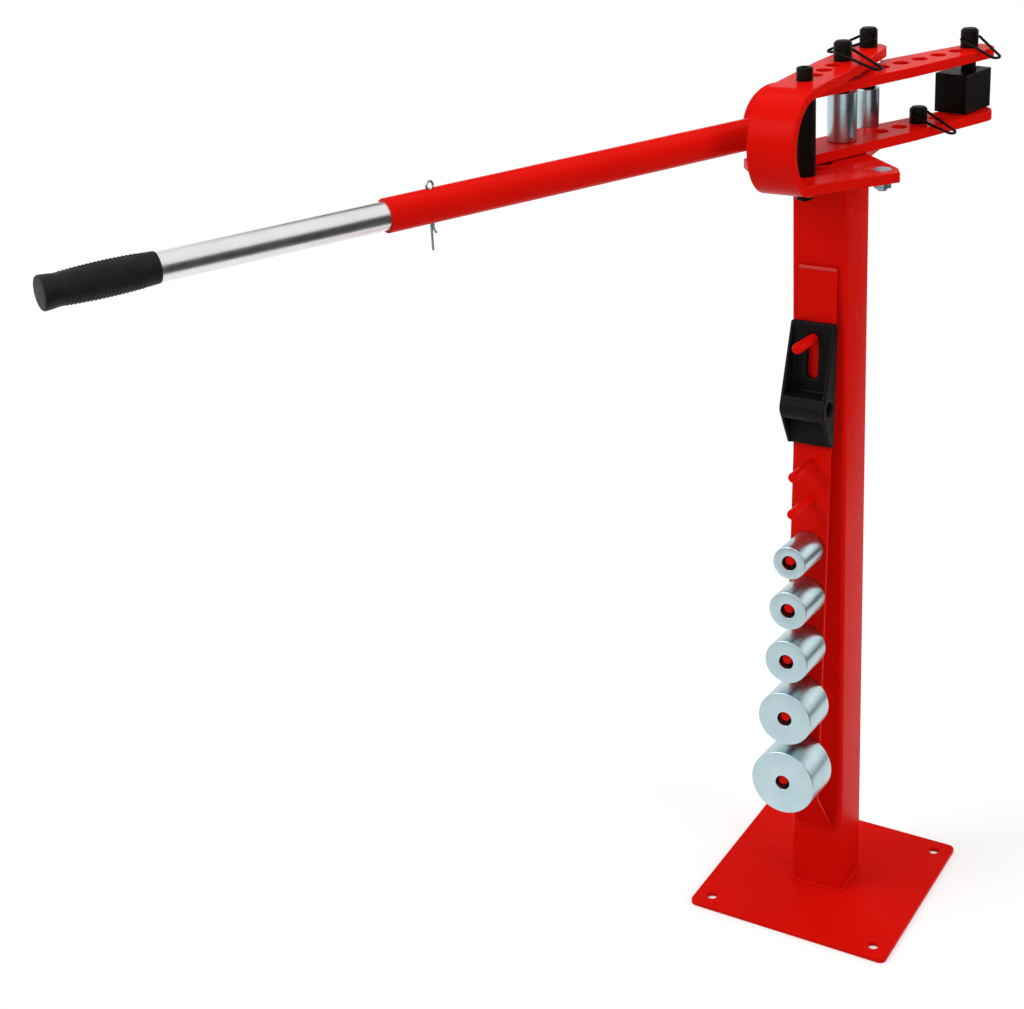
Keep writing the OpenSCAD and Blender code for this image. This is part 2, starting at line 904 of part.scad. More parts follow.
module die_51() {
  hung_die(d51, 5);
}

module die_63() {
  hung_die(d63, 6);
}

module die_76() {
  hung_die(d76, 7);
}

// Rise of the angle die's flank over a run, up to the round nose
function flank_a(run) = atan2(vd_r - vd_end, run) + asin(vd_r / norm([run, vd_r - vd_end]));

// Side outline of the angle die without its nose: x down its length, y out from the rack
module angle_outline() {
  top_a = flank_a(vd_nose);
  low_a = flank_a(vd_len - vd_nose);
  r = vd_r - 0.15;
  polygon([[0, 0], [0, vd_end], [vd_nose - r * sin(top_a), vd_r + r * cos(top_a)], [vd_nose, vd_r],
    [vd_nose + r * sin(low_a), vd_r + r * cos(low_a)], [vd_len, vd_end], [vd_len, 0]]);
}

// Side outline of the two recesses, above and below the band that carries the nose
module angle_recess() {
  s1 = vd_nose - vd_rib;
  s2 = vd_nose + vd_rib;
  translate([-1, vd_floor])
    square([s1 + 1, 3 * vd_r]);
  translate([s2, vd_floor])
    square([vd_len - s2 + 1, 3 * vd_r]);
}

// Extrudes a side outline across the die, centred on x, length along y, out along z
module across_die(width) {
  translate([width / 2, 0, 0])
    rotate([0, -90, 0])
      linear_extrude(width)
        mirror([1, -1])
          children();
}

// Angle die: a slotted plate with wedge-shaped cheeks and a round-nosed band across them
module angle_die() {
  top = vd_slot_in + peg_d / 2 + hang_gap;
  color(black)
    at_peg(peg_z[0])
      translate([0, top, seat_gap])
        rotate([0, 0, 180])
          difference() {
            union() {
              across_die(vd_w)
                angle_outline();
              translate([-vd_w / 2, vd_nose, vd_r])
                rotate([0, 90, 0])
                  cylinder(r = vd_r, h = vd_w);
            }
            across_die(vd_w - 2 * vd_cheek)
              angle_recess();
            translate([-vd_w / 2 - 1, vd_nose, vd_r])
              rotate([0, 90, 0])
                cylinder(d = hole_d, h = vd_w + 2);
            for (y = [vd_slot_w / 2, vd_slot_len - vd_slot_w / 2])
              translate([0, vd_slot_in + y, -1])
                cylinder(d = vd_slot_w, h = 3 * vd_r);
            translate([-vd_slot_w / 2, vd_slot_in + vd_slot_w / 2, -1])
              cube([vd_slot_w, vd_slot_len - vd_slot_w, 3 * vd_r]);
          }
}

base_plate();
foot_weld();
post_tube();
post_cap();
head_weld();
rack_strip();
rack_pegs();
frame_top();
frame_bend();
frame_foot();
ear_bolts();
ear_nuts();
roller_screw();
roller_nut();
stop_roller();
upper_arm();
lever_bend();
lower_arm();
pivot_washer();
handle_tube();
extension_tube();
grip();
cotter_pin();
forming_block();
centre_pin();
holding_pin();
forming_pin();
stop_pin();
centre_bail();
holding_bail();
forming_bail();
stop_bail();
die_32();
die_25();
die_38();
die_44();
die_51();
die_63();
die_76();
angle_die();
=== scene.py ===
# %% [markdown]
# A floor-standing bar bender: a painted post on a square base, a bending head
# with a long lever on top, and a rack of spare dies down its front. The packed
# solids give every size and place, so this file only adds the looks. Blender
# works in metres here, with +Z up and the front of the machine towards -Y.

import json
import math

import bmesh
import bpy
from mathutils import Matrix, Vector


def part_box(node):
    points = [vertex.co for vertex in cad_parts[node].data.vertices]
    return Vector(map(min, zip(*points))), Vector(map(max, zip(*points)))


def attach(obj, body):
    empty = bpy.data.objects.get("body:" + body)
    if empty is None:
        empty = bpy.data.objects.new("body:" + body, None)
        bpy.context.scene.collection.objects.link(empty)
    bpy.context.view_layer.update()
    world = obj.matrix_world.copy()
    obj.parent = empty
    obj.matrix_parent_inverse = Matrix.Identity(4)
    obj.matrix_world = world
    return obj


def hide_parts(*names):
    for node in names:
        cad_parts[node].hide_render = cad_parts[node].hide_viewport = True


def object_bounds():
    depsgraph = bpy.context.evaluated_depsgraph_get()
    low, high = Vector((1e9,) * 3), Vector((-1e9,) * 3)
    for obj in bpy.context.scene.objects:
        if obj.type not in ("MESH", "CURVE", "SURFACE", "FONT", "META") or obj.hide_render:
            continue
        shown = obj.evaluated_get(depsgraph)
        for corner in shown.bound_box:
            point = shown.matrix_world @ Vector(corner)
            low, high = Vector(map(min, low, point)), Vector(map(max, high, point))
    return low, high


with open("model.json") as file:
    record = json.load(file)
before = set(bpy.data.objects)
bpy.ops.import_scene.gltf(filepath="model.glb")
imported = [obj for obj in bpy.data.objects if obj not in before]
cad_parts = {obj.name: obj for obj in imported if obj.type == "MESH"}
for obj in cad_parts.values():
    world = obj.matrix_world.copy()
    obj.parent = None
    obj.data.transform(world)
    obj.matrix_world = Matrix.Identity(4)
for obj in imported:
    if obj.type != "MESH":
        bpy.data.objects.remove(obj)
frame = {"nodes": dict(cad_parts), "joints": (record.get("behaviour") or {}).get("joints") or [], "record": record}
cad_low, cad_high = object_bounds()
MM = 0.001
nodes = frame["nodes"]
joints = {j["name"]: j for j in frame["joints"]}

# %% [markdown]
# The camera stands in front and to the right of the machine, a little above the
# head, and looks down at it. A cropped picture keeps the centre of perspective that it
# was taken with, so a small vertical shift stands for the crop, and the verticals of
# the post draw together as slowly as they should.

# %% Place the camera
IMAGE_W, IMAGE_H = 1024, 1009
SENSOR_MM = 36
FOCAL_PX = 1847.9
CENTRE_Y = 400.0
CAMERA_AT = Vector((0.7340, -1.7999, 1.4237))
CAMERA_TURN, CAMERA_DIP, CAMERA_ROLL = (math.radians(a) for a in (32.633, 21.695, -3.477))


def camera_axes(turn, dip, roll):
    """Right, up and back of a camera that looks along +Y when all three are zero."""
    run = math.cos(dip)
    ahead = Vector((-math.sin(turn) * run, math.cos(turn) * run, -math.sin(dip)))
    level = Vector((math.cos(turn), math.sin(turn), 0))
    rise = level.cross(ahead)
    right = math.cos(roll) * level + math.sin(roll) * rise
    up = -math.sin(roll) * level + math.cos(roll) * rise
    return right, up, -ahead


camera_data = bpy.data.cameras.new("camera")
camera_data.sensor_width = SENSOR_MM
camera_data.lens = FOCAL_PX / IMAGE_W * SENSOR_MM
camera_data.shift_y = (CENTRE_Y - IMAGE_H / 2) / IMAGE_W
camera = bpy.data.objects.new("camera", camera_data)
bpy.context.scene.collection.objects.link(camera)
axes = Matrix(camera_axes(CAMERA_TURN, CAMERA_DIP, CAMERA_ROLL)).transposed().to_4x4()
camera.matrix_world = Matrix.Translation(CAMERA_AT) @ axes
bpy.context.scene.camera = camera
bpy.context.scene.view_settings.view_transform = "Standard"
print("lens", round(camera_data.lens, 2), "mm, shift", round(camera_data.shift_y, 3))

# %% [markdown]
# Studio light: one large soft lamp from the upper left, one straight above, a weaker
# one from the right and one behind for the top edges. What the eye sees of the room, also
# in metal, is plain white, while the room lights the machine at a lower, even level.

# %% Light the studio
WORLD_LIGHT = 0.60
LOOK_AT = Vector((0, 0, 0.6))


def link(tree, a, b):
    """Joins an output socket to an input socket."""
    tree.links.new(a, b)


def seen_directly(tree):
    """1 for what the camera sees itself, in a reflection or through glass."""
    path = tree.nodes.new("ShaderNodeLightPath")
    seen = path.outputs["Is Camera Ray"]
    for ray in ("Is Glossy Ray", "Is Transmission Ray"):
        either = tree.nodes.new("ShaderNodeMath")
        either.operation = "MAXIMUM"
        link(tree, seen, either.inputs[0])
        link(tree, path.outputs[ray], either.inputs[1])
        seen = either.outputs[0]
    return seen


def background(tree, strength):
    """A white sky of one strength."""
    sky = tree.nodes.new("ShaderNodeBackground")
    sky.inputs["Color"].default_value = (1, 1, 1, 1)
    sky.inputs["Strength"].default_value = strength
    return sky.outputs[0]


world = bpy.data.worlds.new("studio")
bpy.context.scene.world = world
world.use_nodes = True
wt = world.node_tree
wt.nodes.clear()
shown = wt.nodes.new("ShaderNodeMixShader")
world_out = wt.nodes.new("ShaderNodeOutputWorld")
link(wt, seen_directly(wt), shown.inputs["Fac"])
link(wt, background(wt, WORLD_LIGHT), shown.inputs[1])
link(wt, background(wt, 1.0), shown.inputs[2])
link(wt, shown.outputs[0], world_out.inputs["Surface"])


def soft_lamp(name, at, size, watts, mirrored=True):
    """A soft lamp at a point, turned to the machine; metal mirrors it or not."""
    lamp = bpy.data.lights.new(name, "AREA")
    lamp.shape = "RECTANGLE"
    lamp.size, lamp.size_y = size
    lamp.energy = watts
    holder = bpy.data.objects.new(name, lamp)
    bpy.context.scene.collection.objects.link(holder)
    holder.location = at
    holder.rotation_euler = (Vector(at) - LOOK_AT).to_track_quat("Z", "Y").to_euler()
    holder.visible_glossy = mirrored


soft_lamp("key_lamp", (-1.7, -2.0, 2.6), (1.6, 1.6), 46)
soft_lamp("top_lamp", (0.2, 0.3, 2.7), (2.4, 2.0), 22, mirrored=False)
soft_lamp("fill_lamp", (2.4, -0.9, 1.7), (1.2, 2.0), 20, mirrored=False)
soft_lamp("rim_lamp", (1.5, 2.2, 1.5), (1.6, 1.4), 3)

# %% [markdown]
# The floor is one pale disc. Close to the machine it takes light and shadow as
# any floor does, lifted a little so that it reads as white, and further out it fades
# to the white of the background, so no horizon shows.

# %% Lay the floor
FLOOR_R, FADE_NEAR, FADE_FAR, FLOOR_LIFT = 9.0, 0.3, 0.9, 0.27
FLOOR_GREY, FLOOR_DROP, FLOOR_SIDES = 0.7, 0.2 * MM, 96


def floor_paint():
    """White far out; near the machine a lit grey, lifted where it is seen directly."""
    m = bpy.data.materials.new("pale_floor")
    m.use_nodes = True
    t = m.node_tree
    t.nodes.clear()
    out = t.nodes.new("ShaderNodeOutputMaterial")
    lit = t.nodes.new("ShaderNodeBsdfDiffuse")
    lit.inputs["Color"].default_value = (FLOOR_GREY, FLOOR_GREY, FLOOR_GREY, 1)
    glow = t.nodes.new("ShaderNodeEmission")
    both = t.nodes.new("ShaderNodeAddShader")
    white = t.nodes.new("ShaderNodeEmission")
    mix = t.nodes.new("ShaderNodeMixShader")
    place = t.nodes.new("ShaderNodeTexCoord")
    reach = t.nodes.new("ShaderNodeVectorMath")
    reach.operation = "LENGTH"
    fade = t.nodes.new("ShaderNodeMapRange")
    fade.interpolation_type = "SMOOTHSTEP"
    fade.inputs["From Min"].default_value = FADE_NEAR
    fade.inputs["From Max"].default_value = FADE_FAR
    lift = t.nodes.new("ShaderNodeMath")
    lift.operation = "MULTIPLY"
    lift.inputs[1].default_value = FLOOR_LIFT
    far = t.nodes.new("ShaderNodeMath")
    far.operation = "MULTIPLY"
    direct = seen_directly(t)
    link(t, place.outputs["Object"], reach.inputs[0])
    link(t, reach.outputs["Value"], fade.inputs["Value"])
    link(t, fade.outputs["Result"], far.inputs[0])
    link(t, direct, far.inputs[1])
    link(t, direct, lift.inputs[0])
    link(t, lift.outputs[0], glow.inputs["Strength"])
    link(t, lit.outputs[0], both.inputs[0])
    link(t, glow.outputs[0], both.inputs[1])
    link(t, far.outputs[0], mix.inputs["Fac"])
    link(t, both.outputs[0], mix.inputs[1])
    link(t, white.outputs[0], mix.inputs[2])
    link(t, mix.outputs[0], out.inputs["Surface"])
    return m


floor_mesh = bpy.data.meshes.new("floor")
fb = bmesh.new()
bmesh.ops.create_circle(fb, cap_ends=True, segments=FLOOR_SIDES, radius=FLOOR_R)
fb.to_mesh(floor_mesh)
fb.free()
floor = bpy.data.objects.new("floor", floor_mesh)
floor.location.z = cad_low.z - FLOOR_DROP
bpy.context.scene.collection.objects.link(floor)
floor_mesh.materials.append(floor_paint())
print("floor radius", FLOOR_R)

# %% [markdown]
# Product photographers set dark cards, called flags, around bright metal and gloss
# paint, so that its form reads against a white room. Three lie on the floor, one stands
# at the right and one hangs high behind. Only reflections see them. Each is given by a
# corner and its two sides, in metres.

# %% Set the flags
FLAGS = {
    "flag_floor_back": ((0.48, 1.0, 0.01), (3.5, 0, 0), (0, 5.0, 0)),
    "flag_floor_right": ((0.6, -3.4, 0.01), (2.9, 0, 0), (0, 3.65, 0)),
    "flag_floor_front": ((-4.0, -6.2, 0.01), (4.5, 0, 0), (0, 4.0, 0)),
    "flag_right": ((2.6, -2.2, 0.0), (0, 4.0, 0), (0, 0, 2.0)),
    "flag_high": ((-3.0, 2.6, 1.95), (5.8, 0, 0), (0, 0, 2.5)),
}
FLAG_GREY = 0.02


def flag(name, at, along, up):
    """A dark card that only reflections see."""
    at, along, up = Vector(at), Vector(along), Vector(up)
    mesh = bpy.data.meshes.new(name)
    mesh.from_pydata([at, at + along, at + along + up, at + up], [], [(0, 1, 2, 3)])
    paint = bpy.data.materials.new(name)
    paint.use_nodes = True
    tree = paint.node_tree
    tree.nodes.clear()
    light = tree.nodes.new("ShaderNodeEmission")
    light.inputs["Strength"].default_value = FLAG_GREY
    link(tree, light.outputs[0], tree.nodes.new("ShaderNodeOutputMaterial").inputs["Surface"])
    mesh.materials.append(paint)
    card = bpy.data.objects.new(name, mesh)
    bpy.context.scene.collection.objects.link(card)
    for sight in ("visible_camera", "visible_diffuse", "visible_shadow", "visible_transmission"):
        setattr(card, sight, False)
    return card


flags = [flag(name, *place) for name, place in FLAGS.items()]
print("flags", [f.name for f in flags])

# %% [markdown]
# No real finish is one flat colour. Paint dries with a faint orange peel, zinc
# comes out of its bath slightly cloudy, and a lathe leaves fine rings. Each of
# these effects is a node group with its own inputs, so that several finishes can
# share it at different strengths.

# %% Shared effects for the finishes
CLOUD_LOW, CLOUD_HIGH = 0.32, 0.68


def shader_group(name, inputs, outputs):
    """A shader node group with named sockets, and its two end nodes."""
    g = bpy.data.node_groups.new(name, "ShaderNodeTree")
    for label, kind, value in inputs:
        socket = g.interface.new_socket(label, in_out="INPUT", socket_type=kind)
        if value is not None:
            socket.default_value = value
    for label, kind in outputs:
        g.interface.new_socket(label, in_out="OUTPUT", socket_type=kind)
    return g, g.nodes.new("NodeGroupInput"), g.nodes.new("NodeGroupOutput")


def mottle_group():
    """Soft clouds between two values, for colour and roughness."""
    g, start, end = shader_group(
        "mottle",
        [("Scale", "NodeSocketFloat", 20.0), ("Low", "NodeSocketFloat", 0.0),
         ("High", "NodeSocketFloat", 1.0)],
        [("Value", "NodeSocketFloat")])
    place = g.nodes.new("ShaderNodeTexCoord")
    noise = g.nodes.new("ShaderNodeTexNoise")
    noise.inputs["Detail"].default_value = 3
    spread = g.nodes.new("ShaderNodeMapRange")
    spread.inputs["From Min"].default_value = CLOUD_LOW
    spread.inputs["From Max"].default_value = CLOUD_HIGH
    link(g, place.outputs["Object"], noise.inputs["Vector"])
    link(g, start.outputs["Scale"], noise.inputs["Scale"])
    link(g, noise.outputs["Fac"], spread.inputs["Value"])
    link(g, start.outputs["Low"], spread.inputs["To Min"])
    link(g, start.outputs["High"], spread.inputs["To Max"])
    link(g, spread.outputs["Result"], end.inputs["Value"])
    return g


def grain_group():
    """Fine bumps; the vector can be stretched for drawn or brushed lines."""
    g, start, end = shader_group(
        "grain",
        [("Vector", "NodeSocketVector", None), ("Scale", "NodeSocketFloat", 400.0),
         ("Detail", "NodeSocketFloat", 2.0)],
        [("Height", "NodeSocketFloat")])
    noise = g.nodes.new("ShaderNodeTexNoise")
    link(g, start.outputs["Vector"], noise.inputs["Vector"])
    link(g, start.outputs["Scale"], noise.inputs["Scale"])
    link(g, start.outputs["Detail"], noise.inputs["Detail"])
    link(g, noise.outputs["Fac"], end.inputs["Height"])
    return g


def turned_group():
    """Rings that a lathe leaves, read from the piece's own lathe attribute."""
    g, start, end = shader_group("turned_rings", [("Rings per metre", "NodeSocketFloat", 2500.0)],
                                 [("Height", "NodeSocketFloat")])
    lathe_at = g.nodes.new("ShaderNodeAttribute")
    lathe_at.attribute_name = "lathe"
    parts = g.nodes.new("ShaderNodeSeparateXYZ")
    total = g.nodes.new("ShaderNodeMath")
    rings = g.nodes.new("ShaderNodeTexNoise")
    rings.noise_dimensions = "1D"
    rings.inputs["Detail"].default_value = 3
    link(g, lathe_at.outputs["Vector"], parts.inputs[0])
    link(g, parts.outputs["X"], total.inputs[0])
    link(g, parts.outputs["Y"], total.inputs[1])
    link(g, total.outputs[0], rings.inputs["W"])
    link(g, start.outputs["Rings per metre"], rings.inputs["Scale"])
    link(g, rings.outputs["Fac"], end.inputs["Height"])
    return g


MOTTLE, GRAIN, TURNED = mottle_group(), grain_group(), turned_group()
print("effects", [g.name for g in (MOTTLE, GRAIN, TURNED)])

# %% [markdown]
# Six finishes cover the machine: gloss red paint on the welded parts, bright zinc on
# the dies and small hardware, black oxide on pins and blocks, sand-cast black on the
# angle die, drawn chrome on the sliding tube and moulded rubber on the grip. Two have a
# second form: paint lies thicker and shinier over some weld beads, and the zinc of the
# turned dies follows the rings of the lathe. The drawn lines of the chrome run along the
# lever, so they need its turn from +X at rest.

# %% Mix the finishes
LEVER_TURN = math.radians(64.2)
BUMP_DEEP, FINER_RUB = 0.2 * MM, 2.3


def use_group(tree, group, **values):
    """A node that uses a group, with inputs set by name; _ stands for a space."""
    node = tree.nodes.new("ShaderNodeGroup")
    node.node_tree = group
    for label, value in values.items():
        node.inputs[label.replace("_", " ")].default_value = value
    return node


def finish(name, dark, light, rough, metallic=0.0, specular=0.5, cloud=14.0, grain=400.0,
           depth=0.05, turned=0.0, drawn=None):
    """A finish between two close colours and two roughnesses, with a fine bump."""
    m = bpy.data.materials.new(name)
    m.use_nodes = True
    t = m.node_tree
    shader = t.nodes["Principled BSDF"]
    shader.inputs["Metallic"].default_value = metallic
    shader.inputs["Specular IOR Level"].default_value = specular
    tint = t.nodes.new("ShaderNodeMix")
    tint.data_type = "RGBA"
    tint.inputs["A"].default_value = (*dark, 1)
    tint.inputs["B"].default_value = (*light, 1)
    link(t, use_group(t, MOTTLE, Scale=cloud).outputs["Value"], tint.inputs["Factor"])
    link(t, tint.outputs["Result"], shader.inputs["Base Color"])
    rub = use_group(t, MOTTLE, Scale=cloud * FINER_RUB, Low=rough[0], High=rough[1])
    link(t, rub.outputs["Value"], shader.inputs["Roughness"])
    bump = t.nodes.new("ShaderNodeBump")
    bump.inputs["Strength"].default_value = depth
    bump.inputs["Distance"].default_value = BUMP_DEEP
    if turned:
        rings = use_group(t, TURNED, Rings_per_metre=turned)
        link(t, rings.outputs["Height"], bump.inputs["Height"])
    else:
        place = t.nodes.new("ShaderNodeTexCoord")
        bumps = use_group(t, GRAIN, Scale=grain)
        if drawn is None:
            link(t, place.outputs["Object"], bumps.inputs["Vector"])
        else:
            along = t.nodes.new("ShaderNodeMapping")
            along.vector_type = "TEXTURE"
            along.inputs["Rotation"].default_value = (0, 0, LEVER_TURN)
            along.inputs["Scale"].default_value = drawn
            link(t, place.outputs["Object"], along.inputs["Vector"])
            link(t, along.outputs["Vector"], bumps.inputs["Vector"])
        link(t, bumps.outputs["Height"], bump.inputs["Height"])
    link(t, bump.outputs["Normal"], shader.inputs["Normal"])
    return m


ZINC = {"dark": (0.45, 0.59, 0.63), "light": (0.50, 0.64, 0.68), "metallic": 1.0}
LOOKS = {
    "red_paint": dict(dark=(0.57, 0.0040, 0.0016), light=(0.61, 0.0048, 0.0019),
                      rough=(0.22, 0.30), specular=0.022, cloud=9, grain=420, depth=0.03),
    "red_bead": dict(dark=(0.55, 0.0040, 0.0016), light=(0.60, 0.0048, 0.0019),
                     rough=(0.16, 0.26), specular=0.50, cloud=30, grain=600, depth=0.05),
    "zinc_plate": dict(ZINC, rough=(0.26, 0.34), cloud=45, grain=900, depth=0.05),
    "turned_zinc": dict(ZINC, rough=(0.27, 0.34), cloud=38, turned=2600, depth=0.08),
    "black_oxide": dict(dark=(0.0042, 0.0030, 0.0026), light=(0.0062, 0.0048, 0.0042),
                        rough=(0.32, 0.44), specular=0.06, cloud=60, grain=800, depth=0.08),
    "black_cast": dict(dark=(0.0045, 0.0038, 0.0040), light=(0.0078, 0.0068, 0.0072),
                       rough=(0.34, 0.48), specular=0.08, cloud=40, grain=520, depth=0.30),
    "satin_chrome": dict(dark=(0.76, 0.77, 0.76), light=(0.82, 0.83, 0.82), rough=(0.28, 0.34),
                         metallic=1.0, cloud=30, grain=900, depth=0.05, drawn=(60, 1, 1)),
    "black_rubber": dict(dark=(0.008, 0.008, 0.0082), light=(0.012, 0.012, 0.0122),
                         rough=(0.42, 0.54), specular=0.12, cloud=50, grain=1400, depth=0.10),
}
FINISH = {name: finish(name, **look) for name, look in LOOKS.items()}
for sub in frame["record"]["subparts"]:
    skin = nodes[sub["node"]].data.materials
    skin.clear()
    skin.append(FINISH[sub["material_slot"]])
SLOT = {sub["node"]: sub["material_slot"] for sub in frame["record"]["subparts"]}
BODY = {n: body for body, group in frame["record"]["behaviour"]["bodies"].items() for n in group}
print("finishes", sorted(FINISH))

# %% [markdown]
# A modelled edge is perfectly sharp, and a real one never is: it is ground, rolled
# or filled by the paint, and the thin line of light along it is what makes steel
# look solid. So each solid is copied, its flat facets are joined, and every edge gets
# a small bevel. The three pieces of a bent strap become one skin again here.

# %% Ease the edges of the solids
WELD_GAP, ON_SEAM, SEAM_GAP = 0.002 * MM, 0.01 * MM, 0.02 * MM
FLAT, CREASE, SHARP = (math.radians(a) for a in (0.4, 32, 20))


def settle(holder):
    """The evaluated shape of an object as a plain mesh; the object itself goes."""
    graph = bpy.context.evaluated_depsgraph_get()
    mesh = bpy.data.meshes.new_from_object(holder.evaluated_get(graph))
    bpy.data.objects.remove(holder)
    return mesh


def holder_of(mesh):
    """An object that carries a mesh while its modifiers run."""
    holder = bpy.data.objects.new("holder", mesh)
    bpy.context.scene.collection.objects.link(holder)
    return holder


def piece(name, mesh, body, look, replaced=()):
    """Hands a finished mesh over as a visible piece of a body."""
    mesh.name = name
    mesh.materials.clear()
    mesh.materials.append(FINISH[look])
    shown = bpy.data.objects.new(name, mesh)
    bpy.context.scene.collection.objects.link(shown)
    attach(shown, body)
    if replaced:
        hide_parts(*replaced)
    return shown


def joined(names, seam=None):
    """One skin from the meshes of several solids, without the faces where they meet."""
    bm = bmesh.new()
    for n in names:
        bm.from_mesh(nodes[n].data)
    bmesh.ops.remove_doubles(bm, verts=bm.verts, dist=WELD_GAP)
    if seam:
        at, across = seam
        inner = [f for f in bm.faces
                 if all(abs((v.co - at).dot(across)) < ON_SEAM for v in f.verts)]
        bmesh.ops.delete(bm, geom=inner, context="FACES")
        bmesh.ops.remove_doubles(bm, verts=bm.verts, dist=SEAM_GAP)
    bmesh.ops.dissolve_limit(bm, angle_limit=FLAT, verts=bm.verts, edges=bm.edges)
    bmesh.ops.recalc_face_normals(bm, faces=bm.faces)
    mesh = bpy.data.meshes.new("skin")
    bm.to_mesh(mesh)
    bm.free()
    return mesh


def eased(names, edge, seam=None, steps=2):
    """One skin from solids, each crease rounded by a bevel of so many millimetres."""
    holder = holder_of(joined(names, seam))
    bevel = holder.modifiers.new("edge", "BEVEL")
    bevel.width = edge * MM
    bevel.segments = steps
    bevel.limit_method = "ANGLE"
    bevel.angle_limit = CREASE
    bevel.use_clamp_overlap = False
    mesh = settle(holder)
    mesh.shade_smooth()
    mesh.set_sharp_from_angle(angle=SHARP)
    return mesh


lever_way = Vector((math.cos(LEVER_TURN), math.sin(LEVER_TURN), 0))
lever_tail = min(v.co.dot(lever_way) for v in nodes["lower_arm"].data.vertices)
frame_front = min(v.co.y for v in nodes["frame_top"].data.vertices)
SEAM = {"frame": (Vector((0, frame_front, 0)), Vector((0, 1, 0))),
        "lever": (lever_way * lever_tail, lever_way)}
EASED = [
    ("base", ["base_plate"], 1.2),
    ("post", ["post_tube"], 0.5),
    ("post_lid", ["post_cap"], 0.6),
    ("rack", ["rack_strip"], 0.8),
    ("pegs", ["rack_pegs"], 0.5),
    ("frame", ["frame_top", "frame_bend", "frame_foot"], 1.0),
    ("lever", ["upper_arm", "lever_bend", "lower_arm"], 1.0),
    ("handle", ["handle_tube"], 0.5),
    ("slide", ["extension_tube"], 0.4),
    ("block", ["forming_block"], 1.0),
    ("centre", ["centre_pin"], 0.5),
    ("holding", ["holding_pin"], 0.5),
    ("forming", ["forming_pin"], 0.5),
    ("stop", ["stop_pin"], 0.5),
    ("socket_screw", ["roller_screw"], 0.4),
    ("screw_nut", ["roller_nut"], 0.4),
    ("flat_bolts", ["ear_bolts"], 0.3),
    ("hex_nuts", ["ear_nuts"], 0.5),
    ("washer", ["pivot_washer"], 0.3),
]
for label, names, edge in EASED:
    skin = eased(names, edge, SEAM.get(label))
    made = piece(label + "_eased", skin, BODY[names[0]], SLOT[names[0]], names)
    print(made.name, len(made.data.polygons), "faces")

# %% [markdown]
# The angle die is a casting: its edges run out softly and its skin is a little
# rough. A voxel remesh of the solid followed by smoothing melts every edge by about a
# millimetre, much as a sand mould does.

# %% Soften the cast die
CAST_VOXEL, MELT, MELT_PASSES = 0.9 * MM, 0.5, 7
holder = holder_of(joined(["angle_die"]))
remesh = holder.modifiers.new("sand", "REMESH")
remesh.mode = "VOXEL"
remesh.voxel_size = CAST_VOXEL
melt = holder.modifiers.new("melt", "SMOOTH")
melt.factor = MELT
melt.iterations = MELT_PASSES
cast_mesh = settle(holder)
cast_mesh.shade_smooth()
made = piece("angle_die_cast", cast_mesh, BODY["angle_die"], "black_cast", ["angle_die"])
print(made.name, len(made.data.polygons), "faces")

# %% [markdown]
# The round dies and the roller come off a lathe. Each is a closed outline of radius
# and height, with its corners rounded, spun about an axis that is measured from the
# solid. The distances from the axis and along it stay on the mesh as an attribute, and
# the turned rings of the finish follow that.

# %% Turn the dies and the roller
SIDE_SHARE, TURNED_SHARP, LATHE_STEPS = 0.48, math.radians(40), 128


def rounded(points, radii, steps=4):
    """A closed outline with each corner rounded, by no more than a share of a side."""
    out = []
    for i, b in enumerate(points):
        b = Vector(b)
        u = Vector(points[i - 1]) - b
        v = Vector(points[(i + 1) % len(points)]) - b
        half = u.angle(v) / 2
        room = SIDE_SHARE * min(u.length, v.length)
        cut = min(radii[i] / math.tan(half), room)
        u.normalize()
        v.normalize()
        r = cut * math.tan(half)
        centre = b + (u + v).normalized() * (r / math.sin(half))
        start = b + u * cut - centre
        swing = start.angle_signed(b + v * cut - centre) if r > 1e-9 else 0.0
        for k in range(steps + 1):
            out.append(centre + Matrix.Rotation(-swing * k / steps, 2) @ start)
    return out


def measure(node, axis):
    """Foot point on the axis, length, bore and outer radius of a round solid."""
    side = axis.orthogonal().normalized()
    up = axis.cross(side)
    points = [v.co for v in nodes[node].data.vertices]
    mid = Vector()
    for d in (side, up):
        spread = [p.dot(d) for p in points]
        mid += (min(spread) + max(spread)) / 2 * d
    foot = min(p.dot(axis) for p in points)
    reach = [(p - mid - axis * (p - mid).dot(axis)).length for p in points]
    return mid + axis * foot, max(p.dot(axis) for p in points) - foot, min(reach), max(reach)


def spun(outline, steps, foot, axis):
    """A closed outline of (radius, height) spun about an axis."""
    bm = bmesh.new()
    lathe_layer = bm.verts.layers.float_vector.new("lathe")
    turn = axis.to_track_quat("Z", "Y").to_matrix()
    rings = []
    for k in range(steps):
        a = 2 * math.pi * k / steps
        ring = []
        for r, h in outline:
            v = bm.verts.new(foot + turn @ Vector((r * math.cos(a), r * math.sin(a), h)))
            v[lathe_layer] = (r, h, 0)
            ring.append(v)
        rings.append(ring)
    n = len(outline)
    for k in range(steps):
        for i in range(n):
            bm.faces.new((rings[k][i], rings[k][(i + 1) % n], rings[(k + 1) % steps][(i + 1) % n],
                          rings[(k + 1) % steps][i]))
    bmesh.ops.recalc_face_normals(bm, faces=bm.faces)
    mesh = bpy.data.meshes.new("spun")
    bm.to_mesh(mesh)
    bm.free()
    mesh.shade_smooth()
    mesh.set_sharp_from_angle(angle=TURNED_SHARP)
    return mesh


